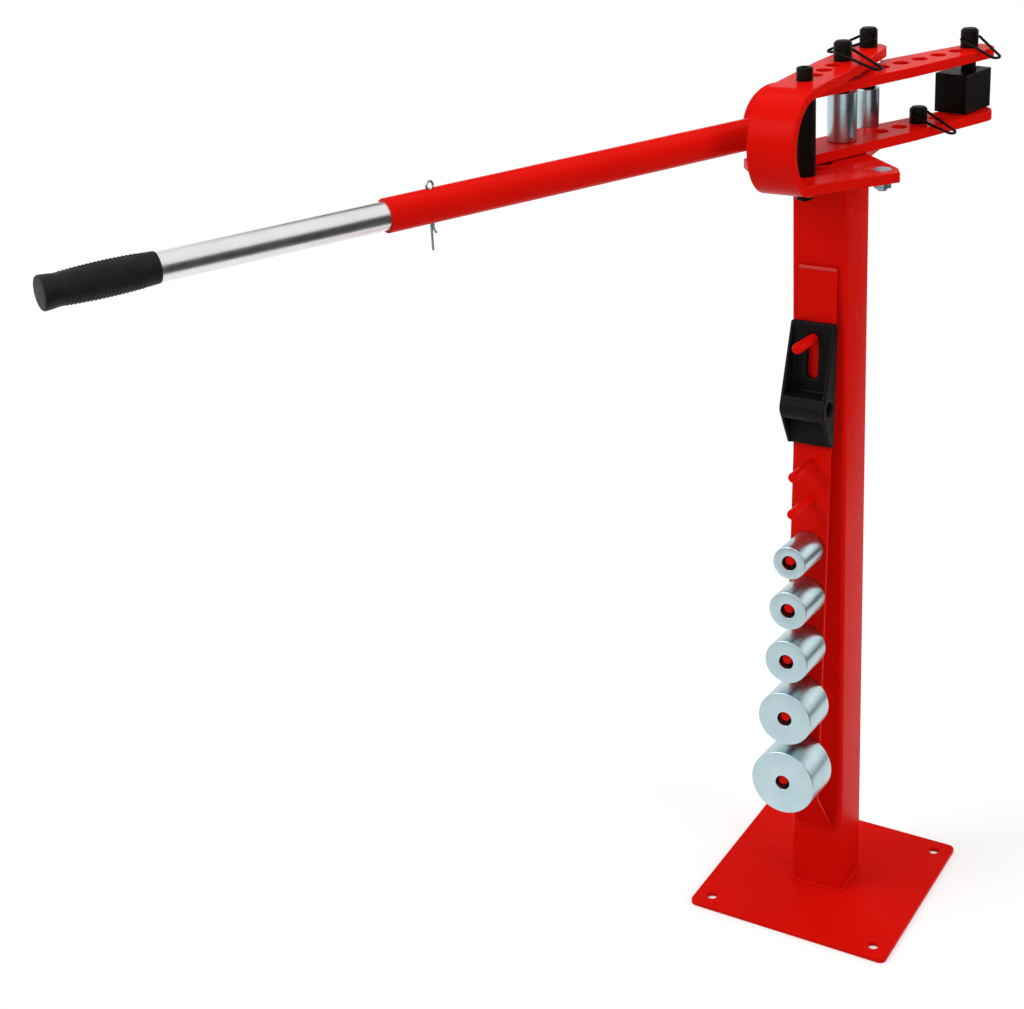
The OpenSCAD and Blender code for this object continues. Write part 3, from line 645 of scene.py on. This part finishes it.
UP = Vector((0, 0, 1))
rack_axis = Vector(joints["die_38_off"]["axis"]).normalized()
DIES = dict.fromkeys(("die_38", "die_44", "die_51", "die_63", "die_76"), rack_axis)
DIES |= dict.fromkeys(("die_32", "die_25", "stop_roller"), UP)
DIE_CUT = (1.1 * MM, 0.6 * MM, "turned_zinc")
ROLLER_CUT = (0.9 * MM, 0.3 * MM, "black_oxide")
for name, axis in DIES.items():
    foot, tall, bore, outer = measure(name, axis)
    rim, lip, look = ROLLER_CUT if name == "stop_roller" else DIE_CUT
    outline = rounded([(bore, 0), (outer, 0), (outer, tall), (bore, tall)], [lip, rim, rim, lip])
    skin = spun(outline, LATHE_STEPS, foot, axis)
    made = piece(name + "_turned", skin, BODY[name], look, [name])
    print(made.name, "bore", round(2 * bore / MM, 1), "outer", round(2 * outer / MM, 1),
          "length", round(tall / MM, 1))

# %% [markdown]
# Wire parts, weld beads, ribs and threads all repeat something along a line, so
# Geometry Nodes makes them. The line is a mesh of plain edges, the tree turns it into
# a curve and sweeps or scatters along it, and what comes out is kept as a plain mesh.

# %% Tools for growing shapes along lines
GROWN_GAP = 0.001 * MM


def geometry_tree(name, inputs):
    """A geometry node tree with named inputs, and its two end nodes."""
    t = bpy.data.node_groups.new(name, "GeometryNodeTree")
    t.interface.new_socket("Geometry", in_out="INPUT", socket_type="NodeSocketGeometry")
    for label, kind, value in inputs:
        socket = t.interface.new_socket(label, in_out="INPUT", socket_type=kind)
        if value is not None:
            socket.default_value = value
    t.interface.new_socket("Geometry", in_out="OUTPUT", socket_type="NodeSocketGeometry")
    return t, t.nodes.new("NodeGroupInput"), t.nodes.new("NodeGroupOutput")


def close_tree(t, start, end, shape):
    """Ends a tree: smooth shading, real geometry, then the finish."""
    smooth = t.nodes.new("GeometryNodeSetShadeSmooth")
    real = t.nodes.new("GeometryNodeRealizeInstances")
    coat = t.nodes.new("GeometryNodeSetMaterial")
    link(t, shape, smooth.inputs["Geometry"])
    link(t, smooth.outputs["Geometry"], real.inputs["Geometry"])
    link(t, real.outputs["Geometry"], coat.inputs["Geometry"])
    link(t, start.outputs["Finish"], coat.inputs["Material"])
    link(t, coat.outputs["Geometry"], end.inputs["Geometry"])


def wire_tree():
    """Sweeps a round section along every line."""
    t, start, end = geometry_tree("wire", [
        ("Radius", "NodeSocketFloat", 0.0015), ("Sides", "NodeSocketInt", 14),
        ("Finish", "NodeSocketMaterial", None)])
    path = t.nodes.new("GeometryNodeMeshToCurve")
    section = t.nodes.new("GeometryNodeCurvePrimitiveCircle")
    sweep = t.nodes.new("GeometryNodeCurveToMesh")
    sweep.inputs["Fill Caps"].default_value = True
    link(t, start.outputs["Geometry"], path.inputs[0])
    link(t, start.outputs["Sides"], section.inputs["Resolution"])
    link(t, start.outputs["Radius"], section.inputs["Radius"])
    link(t, path.outputs[0], sweep.inputs["Curve"])
    link(t, section.outputs[0], sweep.inputs["Profile Curve"])
    close_tree(t, start, end, sweep.outputs[0])
    return t


def line_mesh(lines):
    """Lines of points as a mesh of edges; each line is (points, closed)."""
    points, edges = [], []
    for line, closed in lines:
        first = len(points)
        points += [tuple(p) for p in line]
        edges += [(first + i, first + i + 1) for i in range(len(line) - 1)]
        if closed:
            edges.append((len(points) - 1, first))
    mesh = bpy.data.meshes.new("lines")
    mesh.from_pydata(points, edges, [])
    return mesh


def grow(tree, base, values):
    """Runs a tree on a mesh with the given inputs and keeps the result."""
    holder = holder_of(base)
    mod = holder.modifiers.new("grow", "NODES")
    mod.node_group = tree
    for item in tree.interface.items_tree:
        if item.in_out == "INPUT" and item.name in values:
            mod[item.identifier] = values[item.name]
    mesh = settle(holder)
    bm = bmesh.new()
    bm.from_mesh(mesh)
    bmesh.ops.remove_doubles(bm, verts=bm.verts, dist=GROWN_GAP)
    bmesh.ops.recalc_face_normals(bm, faces=bm.faces)
    bm.to_mesh(mesh)
    bm.free()
    return mesh


WIRE = wire_tree()
print("tree", WIRE.name, [i.name for i in WIRE.interface.items_tree if i.in_out == "INPUT"])

# %% [markdown]
# Each headed pin carries a bail, a loop of spring wire that passes through its
# head and drops to one side. A real bail is bent cold, so its corners are round. The
# loop lies in the plane of its hinge axis and of the direction in which it hangs.

# %% Bend the bails
WIRE_R, TIP_R, CORNER_R = 1.5 * MM, 4.9 * MM, 2.6 * MM
lever_side = Vector((-lever_way.y, lever_way.x, 0))
for label in ("centre", "holding", "forming", "stop"):
    node = label + "_bail"
    swing = joints[node + "_swing"]
    at, axle = Vector(swing["pos_m"]), Vector(swing["axis"]).normalized()
    arms = [v.co - at for v in nodes[node].data.vertices]
    half = max(a.dot(axle) for a in arms) - WIRE_R
    far = max((a - axle * a.dot(axle) for a in arms), key=lambda a: a.length)
    hang, reach = far.normalized(), far.length - WIRE_R
    corners = [(-half, 0), (half, 0), (TIP_R, reach), (-TIP_R, reach)]
    flat = rounded(corners, [CORNER_R, CORNER_R, TIP_R, TIP_R], steps=8)
    loop = [at + axle * a + hang * b for a, b in flat]
    mesh = grow(WIRE, line_mesh([(loop, True)]),
                {"Radius": WIRE_R, "Sides": 16, "Finish": FINISH["black_oxide"]})
    made = piece(node + "_wire", mesh, BODY[node], "black_oxide", [node])
    print(made.name, "reach", round(far.length / MM, 1), "half width", round(half / MM, 1))

# %% [markdown]
# A split pin holds the sliding tube in the handle. It is one wire folded over an eye:
# its long leg hangs straight and its short leg is bent outwards, so that it does not
# shake out.

# %% Fold the split pin
PIN_R, EYE_R, EYE_DROP, EYE_TALL = 1.2 * MM, 3.5 * MM, 3.2 * MM, 1.15
NECK, SHORT_LEG, BENT_TIP = 6.5 * MM, 20 * MM, 16 * MM
EYE_FROM, EYE_SWEEP, EYE_STEPS = 242, 304, 20
points = [v.co for v in nodes["cotter_pin"].data.vertices]
top, foot = max(p.z for p in points), min(p.z for p in points)
span = [p.dot(lever_way) for p in points]
mean = sum(points, Vector()) / len(points)
middle = lever_way * (min(span) + max(span)) / 2 + lever_side * mean.dot(lever_side)
eye = middle + UP * (top - EYE_DROP - EYE_R - PIN_R)
half_way = (foot + eye.z) / 2


def leg(side, *heights):
    """Points of one leg, so many wire radii beside the pin's middle line."""
    return [middle + lever_way * side * PIN_R + UP * z for z in heights]


line = leg(-1, foot, half_way, eye.z - NECK)
for k in range(EYE_STEPS + 1):
    a = math.radians(EYE_FROM - EYE_SWEEP * k / EYE_STEPS)
    line.append(eye + lever_way * EYE_R * math.cos(a) + UP * EYE_TALL * EYE_R * math.sin(a))
line += leg(1, eye.z - NECK, half_way, foot + SHORT_LEG)
line += leg(3, foot + BENT_TIP)
mesh = grow(WIRE, line_mesh([(line, False)]),
            {"Radius": PIN_R, "Sides": 14, "Finish": FINISH["zinc_plate"]})
made = piece("split_pin_wire", mesh, BODY["cotter_pin"], "zinc_plate", ["cotter_pin"])
print(made.name, "from", round(foot, 4), "to", round(top, 4))

# %% [markdown]
# The grip is a moulded rubber sleeve with a closed end, fullest in the middle and
# flared where the hand must not slip off. Its outline is spun about the lever's axis.

# %% Mould the sleeve
TUBE_R, WALL, SWELL, FLARE, WAIST = 13.55 * MM, 0.85 * MM, 1.45 * MM, 1.25 * MM, 0.86
CAP, AXIS_R, MOUTH, MOUTH_EDGE = 3 * MM, 0.05 * MM, 0.5 * MM, 0.4 * MM
END_ROLL = ((0, 2), (0.25, 0.9), (1.0, 0.1), (2.5, 0))
OUTLINE_STEPS, SLEEVE_STEPS = 40, 96
grip_foot, grip_long, _, grip_r = measure("grip", -lever_way)


def sleeve_r(z):
    """Radius of the sleeve between its ribs at a distance from its inner end."""
    along = z / grip_long
    swell = SWELL * math.sin(math.pi * min(1.0, along / WAIST))
    out = max(0.0, (along - WAIST) / (1 - WAIST))
    return TUBE_R + WALL + swell + FLARE * math.sin(0.5 * math.pi * out)


flare_r = sleeve_r(grip_long)
profile = [(AXIS_R, grip_long - CAP), (TUBE_R, grip_long - CAP), (TUBE_R, 0),
           (TUBE_R + MOUTH, 0), (sleeve_r(0), MOUTH_EDGE)]
for k in range(1, OUTLINE_STEPS - 1):
    z = grip_long * k / OUTLINE_STEPS
    profile.append((sleeve_r(z), z))
profile += [(flare_r - a * MM, grip_long - b * MM) for a, b in END_ROLL]
profile.append((AXIS_R, grip_long))
skin = spun(profile, SLEEVE_STEPS, grip_foot, -lever_way)
made = piece("grip_sleeve", skin, BODY["grip"], "black_rubber", ["grip"])
print(made.name, "length", round(grip_long / MM, 1), "end radius", round(flare_r / MM, 2), "mm")

# %% [markdown]
# Four bands of ribs give the hand its hold, each parted in two rows. One rib is an arc,
# and the tree sets it along the sleeve at the radius and turn that each point carries.

# %% Set the ribs
RIBS, BANDS, RIB_SWEEP, RIB_R, LINE_AT = 20, 4, 26.5, 0.8 * MM, 2.0
RIB_FROM, RIB_TO, ROW_OFF, RIB_SUNK = 0.14, 0.82, 15.2, 0.35 * MM
grip_turn = Matrix((UP, lever_side, -lever_way)).transposed()


def rib_tree():
    """Sets an arc of a round section on every point, at the point's own radius and turn."""
    t, start, end = geometry_tree("ribs", [
        ("Sweep", "NodeSocketFloat", 0.7), ("Section", "NodeSocketFloat", 0.001),
        ("Finish", "NodeSocketMaterial", None)])
    arc = t.nodes.new("GeometryNodeCurveArc")
    arc.inputs["Resolution"].default_value = 14
    arc.inputs["Radius"].default_value = TUBE_R
    section = t.nodes.new("GeometryNodeCurvePrimitiveCircle")
    section.inputs["Resolution"].default_value = 10
    sweep = t.nodes.new("GeometryNodeCurveToMesh")
    sweep.inputs["Fill Caps"].default_value = True
    spread = t.nodes.new("GeometryNodeInstanceOnPoints")
    turn, size = (t.nodes.new("GeometryNodeInputNamedAttribute") for _ in range(2))
    for carried, label in ((turn, "rib_turn"), (size, "rib_size")):
        carried.data_type = "FLOAT_VECTOR"
        carried.inputs["Name"].default_value = label
    link(t, start.outputs["Sweep"], arc.inputs["Sweep Angle"])
    link(t, start.outputs["Section"], section.inputs["Radius"])
    link(t, arc.outputs[0], sweep.inputs["Curve"])
    link(t, section.outputs[0], sweep.inputs["Profile Curve"])
    link(t, start.outputs["Geometry"], spread.inputs["Points"])
    link(t, sweep.outputs[0], spread.inputs["Instance"])
    link(t, turn.outputs["Attribute"], spread.inputs["Rotation"])
    link(t, size.outputs["Attribute"], spread.inputs["Scale"])
    close_tree(t, start, end, spread.outputs[0])
    return t


rib_points, rib_turns, rib_sizes = [], [], []
for row in range(2 * BANDS):
    side = 1 if row % 2 else -1
    middle_a = LINE_AT + (row // 2 + 0.5) * 360 / BANDS + side * ROW_OFF
    for k in range(RIBS):
        z = grip_long * (RIB_FROM + (RIB_TO - RIB_FROM) * (k + 0.5) / RIBS)
        grow_by = (sleeve_r(z) - RIB_SUNK) / TUBE_R
        rib_points.append((0, 0, z))
        rib_turns += [0, 0, math.radians(middle_a - RIB_SWEEP / 2)]
        rib_sizes += [grow_by, grow_by, 1.0]
base = bpy.data.meshes.new("rib_places")
base.from_pydata(rib_points, [], [])
for label, values in (("rib_turn", rib_turns), ("rib_size", rib_sizes)):
    base.attributes.new(label, "FLOAT_VECTOR", "POINT").data.foreach_set("vector", values)
mesh = grow(rib_tree(), base, {"Sweep": math.radians(RIB_SWEEP), "Section": RIB_R,
                               "Finish": FINISH["black_rubber"]})
mesh.transform(Matrix.Translation(grip_foot) @ grip_turn.to_4x4())
made = piece("grip_ribs", mesh, BODY["grip"], "black_rubber")
rib_top = sleeve_r(WAIST / 2 * grip_long) + RIB_R - RIB_SUNK
print(made.name, len(rib_points), "ribs, up to", round(rib_top / MM, 2), "of",
      round(grip_r / MM, 2), "mm")

# %% [markdown]
# A raised line runs along each smooth strip between two bands, as the parting lines of
# a mould leave it.

# %% Raise the lines on the smooth strips
LINE_R = 0.5 * MM
LINE_FROM, LINE_TO, LINE_STEP = 12, 80, 3


def to_grip(x, y, z):
    """A point of the sleeve's own frame, placed on the lever."""
    return grip_foot + grip_turn @ Vector((x, y, z))


lines = []
for k in range(BANDS):
    a = math.radians(LINE_AT + 360 * k / BANDS)
    places = [(sleeve_r(z * MM), z * MM) for z in range(LINE_FROM, LINE_TO, LINE_STEP)]
    lines.append(([to_grip(r * math.cos(a), r * math.sin(a), z) for r, z in places], False))
mesh = grow(WIRE, line_mesh(lines),
            {"Radius": LINE_R, "Sides": 10, "Finish": FINISH["black_rubber"]})
made = piece("grip_lines", mesh, BODY["grip"], "black_rubber")
print(made.name, "on", len(lines), "smooth strips")

# %% [markdown]
# The post, the head, the rack strip and the handle are welded together. A bead laid
# by hand is a row of overlapping puddles, each a little different, so the tree drops
# flattened balls at a fixed pitch along the line and varies their size from a seed.

# %% Tools for weld beads
PUDDLE_LOW, PUDDLE_HIGH = 0.9, 1.08


def bead_tree():
    """Drops flattened balls of varied width along every line."""
    t, start, end = geometry_tree("weld_bead", [
        ("Pitch", "NodeSocketFloat", 0.0022), ("Bead", "NodeSocketFloat", 0.003),
        ("Seed", "NodeSocketInt", 3), ("Finish", "NodeSocketMaterial", None)])
    path = t.nodes.new("GeometryNodeMeshToCurve")
    even = t.nodes.new("GeometryNodeResampleCurve")
    even.mode = "LENGTH"
    spots = t.nodes.new("GeometryNodeCurveToPoints")
    spots.mode = "EVALUATED"
    ball = t.nodes.new("GeometryNodeMeshUVSphere")
    ball.inputs["Segments"].default_value = 14
    ball.inputs["Rings"].default_value = 8
    ball.inputs["Radius"].default_value = 1.0
    drop = t.nodes.new("GeometryNodeInstanceOnPoints")
    vary = t.nodes.new("FunctionNodeRandomValue")
    vary.inputs[2].default_value = PUDDLE_LOW
    vary.inputs[3].default_value = PUDDLE_HIGH
    wide = t.nodes.new("ShaderNodeMath")
    wide.operation = "MULTIPLY"
    size = t.nodes.new("ShaderNodeCombineXYZ")
    link(t, start.outputs["Geometry"], path.inputs[0])
    link(t, path.outputs[0], even.inputs["Curve"])
    link(t, start.outputs["Pitch"], even.inputs["Length"])
    link(t, even.outputs[0], spots.inputs["Curve"])
    link(t, start.outputs["Seed"], vary.inputs["Seed"])
    link(t, vary.outputs[1], wide.inputs[0])
    link(t, start.outputs["Bead"], wide.inputs[1])
    link(t, wide.outputs[0], size.inputs["X"])
    link(t, wide.outputs[0], size.inputs["Y"])
    link(t, start.outputs["Pitch"], size.inputs["Z"])
    link(t, spots.outputs["Points"], drop.inputs["Points"])
    link(t, spots.outputs["Rotation"], drop.inputs["Rotation"])
    link(t, ball.outputs["Mesh"], drop.inputs["Instance"])
    link(t, size.outputs[0], drop.inputs["Scale"])
    close_tree(t, start, end, drop.outputs[0])
    return t


BEAD = bead_tree()


def bead(lines, pitch, width, seed, look):
    """A weld bead along lines, with its pitch and width in millimetres."""
    return grow(BEAD, line_mesh(lines), {"Pitch": pitch * MM, "Bead": width * MM, "Seed": seed,
                                         "Finish": FINISH[look]})


print("tree", BEAD.name, [i.name for i in BEAD.interface.items_tree if i.in_out == "INPUT"])

# %% [markdown]
# One bead runs around the foot of the post, on the base plate, and two short ones lie
# under the frame at its top.

# %% Weld the post
PROUD, POST_CORNER, HEAD_HALF, BEAD_STEP = 0.6 * MM, 5.6 * MM, 22, 4
post_low, post_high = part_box("post_tube")
post_mid = (post_low + post_high) / 2
half_post = (post_high.x - post_low.x) / 2 + PROUD
square = [(-half_post, -half_post), (half_post, -half_post),
          (half_post, half_post), (-half_post, half_post)]
foot_z, head_z = post_low.z + PROUD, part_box("frame_foot")[0].z - PROUD
ring = [Vector((x, post_mid.y + y, foot_z)) for x, y in rounded(square, [POST_CORNER] * 4, 6)]
across = [x * MM for x in range(-HEAD_HALF, HEAD_HALF + 1, BEAD_STEP)]
head_lines = [([Vector((x, post_mid.y + s * half_post, head_z)) for x in across], False)
              for s in (-1, 1)]
mesh = bead([(ring, True)] + head_lines, 1.9, 2.6, 5, "red_paint")
made = piece("stand_beads", mesh, "stand", "red_paint", ["foot_weld", "head_weld"])
print(made.name, len(mesh.polygons), "faces")

# %% [markdown]
# The rack strip is welded to the post at its two ends. The upper bead stands proud and
# catches the light, and the lower one is nearly flush. Each end has its height, its
# distance from the post, the width of its bead, and its finish.

# %% Weld the rack strip
RACK_HALF = 20
strip_low, strip_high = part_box("rack_strip")
rack_ends = {"rack_top_bead": (strip_high.z + 0.3 * MM, 2.4, 2.9, "red_bead"),
             "rack_foot_bead": (strip_low.z + 0.6 * MM, 0.5, 1.9, "red_paint")}
for name, (z, out, width, look) in rack_ends.items():
    weld = [Vector((x * MM, post_low.y - out * MM, z))
            for x in range(-RACK_HALF, RACK_HALF + 1, BEAD_STEP)]
    mesh = bead([(weld, False)], 2.1, width, 8, look)
    made = piece(name, mesh, "stand", look)
    print(made.name, len(mesh.polygons), "faces")

# %% [markdown]
# The handle tube meets the round back of the lever's strap, so its bead follows a
# saddle: a circle around the tube, pressed against the bend.

# %% Weld the handle
SADDLE_R, SADDLE_PROUD, SADDLE_STEPS = 17.0 * MM, 0.4 * MM, 48
lever_low, lever_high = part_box("lower_arm")[0].z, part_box("upper_arm")[1].z
bend_r = (lever_high - lever_low) / 2
pivot_x, pivot_y, _ = joints["lever_swing"]["pos_m"]
pivot = Vector((pivot_x, pivot_y, (lever_low + lever_high) / 2))
bend_u = lever_tail - pivot.dot(lever_way)
saddle = []
for k in range(SADDLE_STEPS):
    a = 2 * math.pi * k / SADDLE_STEPS
    v, z = SADDLE_R * math.cos(a), SADDLE_R * math.sin(a)
    u = bend_u - math.sqrt((bend_r + SADDLE_PROUD) ** 2 - z ** 2)
    saddle.append(pivot + lever_way * u + lever_side * v + UP * z)
mesh = bead([(saddle, True)], 1.9, 2.4, 2, "red_bead")
made = piece("handle_bead", mesh, "lever", "red_bead")
print(made.name, len(mesh.polygons), "faces")

# %% [markdown]
# Threads show only where a bolt stands out of its nut. A turn or two of a helix with a
# small section, set at the foot of each bolt, is enough at this size.

# %% Cut the threads that show
THREAD_R, THREAD_LIFT, EAR_INSET = 4.9 * MM, 0.5 * MM, 9.8 * MM


def thread_tree():
    """Winds a small ridge into a helix on every point."""
    t, start, end = geometry_tree("thread", [
        ("Radius", "NodeSocketFloat", 0.005), ("Length", "NodeSocketFloat", 0.003),
        ("Turns", "NodeSocketFloat", 2.0), ("Ridge", "NodeSocketFloat", 0.0006),
        ("Finish", "NodeSocketMaterial", None)])
    helix = t.nodes.new("GeometryNodeCurveSpiral")
    helix.inputs["Resolution"].default_value = 40
    ridge = t.nodes.new("GeometryNodeCurvePrimitiveCircle")
    ridge.inputs["Resolution"].default_value = 4
    sweep = t.nodes.new("GeometryNodeCurveToMesh")
    sweep.inputs["Fill Caps"].default_value = True
    each = t.nodes.new("GeometryNodeInstanceOnPoints")
    for side in ("Start Radius", "End Radius"):
        link(t, start.outputs["Radius"], helix.inputs[side])
    link(t, start.outputs["Length"], helix.inputs["Height"])
    link(t, start.outputs["Turns"], helix.inputs["Rotations"])
    link(t, start.outputs["Ridge"], ridge.inputs["Radius"])
    link(t, helix.outputs[0], sweep.inputs["Curve"])
    link(t, ridge.outputs[0], sweep.inputs["Profile Curve"])
    link(t, start.outputs["Geometry"], each.inputs["Points"])
    link(t, sweep.outputs[0], each.inputs["Instance"])
    close_tree(t, start, end, each.outputs[0])
    return t


THREAD = thread_tree()


def thread(name, ends, length, turns, ridge, look):
    """Hands over a thread at each end, with its length and ridge in millimetres."""
    places = bpy.data.meshes.new(name)
    places.from_pydata(ends, [], [])
    mesh = grow(THREAD, places, {"Radius": THREAD_R, "Length": length * MM, "Turns": turns,
                                 "Ridge": ridge * MM, "Finish": FINISH[look]})
    return piece(name, mesh, "stand", look)


bolt_low, bolt_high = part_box("ear_bolts")
nut_low, nut_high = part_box("ear_nuts")
ear_y = (nut_high.y + nut_low.y) / 2
ear_out = (bolt_high.x - bolt_low.x) / 2 - EAR_INSET
bolt_ends = [(s * ear_out, ear_y, bolt_low.z + THREAD_LIFT) for s in (-1, 1)]
thread("bolt_threads", bolt_ends, 2.4, 1.6, 0.55, "zinc_plate")
screw_low, screw_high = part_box("roller_screw")
screw_end = (0, (screw_low.y + screw_high.y) / 2, screw_low.z + THREAD_LIFT)
thread("screw_thread", [screw_end], 1.4, 1.0, 0.5, "black_oxide")
print("threads at", round(ear_out / MM, 1), "mm and on the screw")
